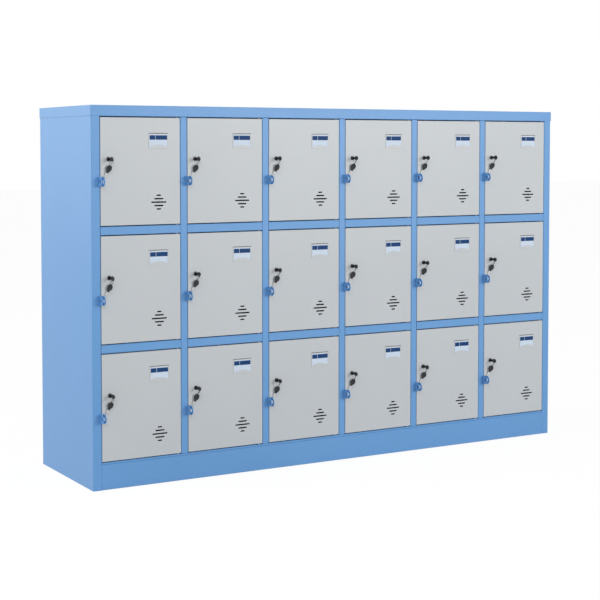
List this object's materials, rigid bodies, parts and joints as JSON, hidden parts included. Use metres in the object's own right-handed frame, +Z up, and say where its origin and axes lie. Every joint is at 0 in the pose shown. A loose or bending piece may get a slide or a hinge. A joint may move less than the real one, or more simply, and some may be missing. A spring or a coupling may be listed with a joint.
{
  "type": "locker",
  "caption": "Low wide painted-steel cube locker bank with hinged vented doors, padlock eyes, card holders and keyed cam locks.",
  "frame": {"origin": "centre of the bounding box's base, on the floor", "axes": "+X along the row of columns to the right, +Y from the doors to the back, +Z up"},
  "size_m": [1.8, 0.4824, 1.186],
  "materials": {
    "blue_paint": "satin powder coat",
    "grey_paint": "satin powder coat",
    "dark_metal": "dark satin"
  },
  "bodies": {
    "carcass": {"back_panel": "blue_paint", "ceiling_panel": "blue_paint", "floor_panel": "blue_paint", "left_side_panel": "blue_paint", "partition_1": "blue_paint", "partition_2": "blue_paint", "partition_3": "blue_paint", "partition_4": "blue_paint", "partition_5": "blue_paint", "plinth_panel": "blue_paint", "right_side_panel": "blue_paint", "shelf_r2_c1": "blue_paint", "shelf_r2_c2": "blue_paint", "shelf_r2_c3": "blue_paint", "shelf_r2_c4": "blue_paint", "shelf_r2_c5": "blue_paint", "shelf_r2_c6": "blue_paint", "shelf_r3_c1": "blue_paint", "shelf_r3_c2": "blue_paint", "shelf_r3_c3": "blue_paint", "shelf_r3_c4": "blue_paint", "shelf_r3_c5": "blue_paint", "shelf_r3_c6": "blue_paint", "top_cap": "blue_paint"},
    "door_r1_c1": {"door_r1_c1": "grey_paint"},
    "door_r1_c2": {"door_r1_c2": "grey_paint"},
    "door_r1_c3": {"door_r1_c3": "grey_paint"},
    "door_r1_c4": {"door_r1_c4": "grey_paint"},
    "door_r1_c5": {"door_r1_c5": "grey_paint"},
    "door_r1_c6": {"door_r1_c6": "grey_paint"},
    "door_r2_c1": {"door_r2_c1": "grey_paint"},
    "door_r2_c2": {"door_r2_c2": "grey_paint"},
    "door_r2_c3": {"door_r2_c3": "grey_paint"},
    "door_r2_c4": {"door_r2_c4": "grey_paint"},
    "door_r2_c5": {"door_r2_c5": "grey_paint"},
    "door_r2_c6": {"door_r2_c6": "grey_paint"},
    "door_r3_c1": {"door_r3_c1": "grey_paint"},
    "door_r3_c2": {"door_r3_c2": "grey_paint"},
    "door_r3_c3": {"door_r3_c3": "grey_paint"},
    "door_r3_c4": {"door_r3_c4": "grey_paint"},
    "door_r3_c5": {"door_r3_c5": "grey_paint"},
    "door_r3_c6": {"door_r3_c6": "grey_paint"},
    "lock_r1_c1": {"lock_r1_c1": "dark_metal"},
    "lock_r1_c2": {"lock_r1_c2": "dark_metal"},
    "lock_r1_c3": {"lock_r1_c3": "dark_metal"},
    "lock_r1_c4": {"lock_r1_c4": "dark_metal"},
    "lock_r1_c5": {"lock_r1_c5": "dark_metal"},
    "lock_r1_c6": {"lock_r1_c6": "dark_metal"},
    "lock_r2_c1": {"lock_r2_c1": "dark_metal"},
    "lock_r2_c2": {"lock_r2_c2": "dark_metal"},
    "lock_r2_c3": {"lock_r2_c3": "dark_metal"},
    "lock_r2_c4": {"lock_r2_c4": "dark_metal"},
    "lock_r2_c5": {"lock_r2_c5": "dark_metal"},
    "lock_r2_c6": {"lock_r2_c6": "dark_metal"},
    "lock_r3_c1": {"lock_r3_c1": "dark_metal"},
    "lock_r3_c2": {"lock_r3_c2": "dark_metal"},
    "lock_r3_c3": {"lock_r3_c3": "dark_metal"},
    "lock_r3_c4": {"lock_r3_c4": "dark_metal"},
    "lock_r3_c5": {"lock_r3_c5": "dark_metal"},
    "lock_r3_c6": {"lock_r3_c6": "dark_metal"}
  },
  "joints": [
    {"name": "door_hinge_r1_c1", "type": "hinge", "parent": "carcass", "child": "door_r1_c1", "pos_m": [-0.60967, -0.20175, 0.81667], "axis": [0, 0, 1], "range_deg": [0, 110]},
    {"name": "lock_turn_r1_c1", "type": "hinge", "parent": "door_r1_c1", "child": "lock_r1_c1", "pos_m": [-0.8413, -0.20725, 1.0207], "axis": [0, 1, 0], "range_deg": [0, 90]},
    {"name": "door_hinge_r1_c2", "type": "hinge", "parent": "carcass", "child": "door_r1_c2", "pos_m": [-0.31583, -0.20175, 0.81667], "axis": [0, 0, 1], "range_deg": [0, 110]},
    {"name": "lock_turn_r1_c2", "type": "hinge", "parent": "door_r1_c2", "child": "lock_r1_c2", "pos_m": [-0.54747, -0.20725, 1.0207], "axis": [0, 1, 0], "range_deg": [0, 90]},
    {"name": "door_hinge_r1_c3", "type": "hinge", "parent": "carcass", "child": "door_r1_c3", "pos_m": [-0.022, -0.20175, 0.81667], "axis": [0, 0, 1], "range_deg": [0, 110]},
    {"name": "lock_turn_r1_c3", "type": "hinge", "parent": "door_r1_c3", "child": "lock_r1_c3", "pos_m": [-0.25363, -0.20725, 1.0207], "axis": [0, 1, 0], "range_deg": [0, 90]},
    {"name": "door_hinge_r1_c4", "type": "hinge", "parent": "carcass", "child": "door_r1_c4", "pos_m": [0.27183, -0.20175, 0.81667], "axis": [0, 0, 1], "range_deg": [0, 110]},
    {"name": "lock_turn_r1_c4", "type": "hinge", "parent": "door_r1_c4", "child": "lock_r1_c4", "pos_m": [0.0402, -0.20725, 1.0207], "axis": [0, 1, 0], "range_deg": [0, 90]},
    {"name": "door_hinge_r1_c5", "type": "hinge", "parent": "carcass", "child": "door_r1_c5", "pos_m": [0.56567, -0.20175, 0.81667], "axis": [0, 0, 1], "range_deg": [0, 110]},
    {"name": "lock_turn_r1_c5", "type": "hinge", "parent": "door_r1_c5", "child": "lock_r1_c5", "pos_m": [0.33403, -0.20725, 1.0207], "axis": [0, 1, 0], "range_deg": [0, 90]},
    {"name": "door_hinge_r1_c6", "type": "hinge", "parent": "carcass", "child": "door_r1_c6", "pos_m": [0.8595, -0.20175, 0.81667], "axis": [0, 0, 1], "range_deg": [0, 110]},
    {"name": "lock_turn_r1_c6", "type": "hinge", "parent": "door_r1_c6", "child": "lock_r1_c6", "pos_m": [0.62787, -0.20725, 1.0207], "axis": [0, 1, 0], "range_deg": [0, 90]},
    {"name": "door_hinge_r2_c1", "type": "hinge", "parent": "carcass", "child": "door_r2_c1", "pos_m": [-0.60967, -0.20175, 0.45233], "axis": [0, 0, 1], "range_deg": [0, 110]},
    {"name": "lock_turn_r2_c1", "type": "hinge", "parent": "door_r2_c1", "child": "lock_r2_c1", "pos_m": [-0.8413, -0.20725, 0.65637], "axis": [0, 1, 0], "range_deg": [0, 90]},
    {"name": "door_hinge_r2_c2", "type": "hinge", "parent": "carcass", "child": "door_r2_c2", "pos_m": [-0.31583, -0.20175, 0.45233], "axis": [0, 0, 1], "range_deg": [0, 110]},
    {"name": "lock_turn_r2_c2", "type": "hinge", "parent": "door_r2_c2", "child": "lock_r2_c2", "pos_m": [-0.54747, -0.20725, 0.65637], "axis": [0, 1, 0], "range_deg": [0, 90]},
    {"name": "door_hinge_r2_c3", "type": "hinge", "parent": "carcass", "child": "door_r2_c3", "pos_m": [-0.022, -0.20175, 0.45233], "axis": [0, 0, 1], "range_deg": [0, 110]},
    {"name": "lock_turn_r2_c3", "type": "hinge", "parent": "door_r2_c3", "child": "lock_r2_c3", "pos_m": [-0.25363, -0.20725, 0.65637], "axis": [0, 1, 0], "range_deg": [0, 90]},
    {"name": "door_hinge_r2_c4", "type": "hinge", "parent": "carcass", "child": "door_r2_c4", "pos_m": [0.27183, -0.20175, 0.45233], "axis": [0, 0, 1], "range_deg": [0, 110]},
    {"name": "lock_turn_r2_c4", "type": "hinge", "parent": "door_r2_c4", "child": "lock_r2_c4", "pos_m": [0.0402, -0.20725, 0.65637], "axis": [0, 1, 0], "range_deg": [0, 90]},
    {"name": "door_hinge_r2_c5", "type": "hinge", "parent": "carcass", "child": "door_r2_c5", "pos_m": [0.56567, -0.20175, 0.45233], "axis": [0, 0, 1], "range_deg": [0, 110]},
    {"name": "lock_turn_r2_c5", "type": "hinge", "parent": "door_r2_c5", "child": "lock_r2_c5", "pos_m": [0.33403, -0.20725, 0.65637], "axis": [0, 1, 0], "range_deg": [0, 90]},
    {"name": "door_hinge_r2_c6", "type": "hinge", "parent": "carcass", "child": "door_r2_c6", "pos_m": [0.8595, -0.20175, 0.45233], "axis": [0, 0, 1], "range_deg": [0, 110]},
    {"name": "lock_turn_r2_c6", "type": "hinge", "parent": "door_r2_c6", "child": "lock_r2_c6", "pos_m": [0.62787, -0.20725, 0.65637], "axis": [0, 1, 0], "range_deg": [0, 90]},
    {"name": "door_hinge_r3_c1", "type": "hinge", "parent": "carcass", "child": "door_r3_c1", "pos_m": [-0.60967, -0.20175, 0.088], "axis": [0, 0, 1], "range_deg": [0, 110]},
    {"name": "lock_turn_r3_c1", "type": "hinge", "parent": "door_r3_c1", "child": "lock_r3_c1", "pos_m": [-0.8413, -0.20725, 0.29203], "axis": [0, 1, 0], "range_deg": [0, 90]},
    {"name": "door_hinge_r3_c2", "type": "hinge", "parent": "carcass", "child": "door_r3_c2", "pos_m": [-0.31583, -0.20175, 0.088], "axis": [0, 0, 1], "range_deg": [0, 110]},
    {"name": "lock_turn_r3_c2", "type": "hinge", "parent": "door_r3_c2", "child": "lock_r3_c2", "pos_m": [-0.54747, -0.20725, 0.29203], "axis": [0, 1, 0], "range_deg": [0, 90]},
    {"name": "door_hinge_r3_c3", "type": "hinge", "parent": "carcass", "child": "door_r3_c3", "pos_m": [-0.022, -0.20175, 0.088], "axis": [0, 0, 1], "range_deg": [0, 110]},
    {"name": "lock_turn_r3_c3", "type": "hinge", "parent": "door_r3_c3", "child": "lock_r3_c3", "pos_m": [-0.25363, -0.20725, 0.29203], "axis": [0, 1, 0], "range_deg": [0, 90]},
    {"name": "door_hinge_r3_c4", "type": "hinge", "parent": "carcass", "child": "door_r3_c4", "pos_m": [0.27183, -0.20175, 0.088], "axis": [0, 0, 1], "range_deg": [0, 110]},
    {"name": "lock_turn_r3_c4", "type": "hinge", "parent": "door_r3_c4", "child": "lock_r3_c4", "pos_m": [0.0402, -0.20725, 0.29203], "axis": [0, 1, 0], "range_deg": [0, 90]},
    {"name": "door_hinge_r3_c5", "type": "hinge", "parent": "carcass", "child": "door_r3_c5", "pos_m": [0.56567, -0.20175, 0.088], "axis": [0, 0, 1], "range_deg": [0, 110]},
    {"name": "lock_turn_r3_c5", "type": "hinge", "parent": "door_r3_c5", "child": "lock_r3_c5", "pos_m": [0.33403, -0.20725, 0.29203], "axis": [0, 1, 0], "range_deg": [0, 90]},
    {"name": "door_hinge_r3_c6", "type": "hinge", "parent": "carcass", "child": "door_r3_c6", "pos_m": [0.8595, -0.20175, 0.088], "axis": [0, 0, 1], "range_deg": [0, 110]},
    {"name": "lock_turn_r3_c6", "type": "hinge", "parent": "door_r3_c6", "child": "lock_r3_c6", "pos_m": [0.62787, -0.20725, 0.29203], "axis": [0, 1, 0], "range_deg": [0, 90]}
  ]
}
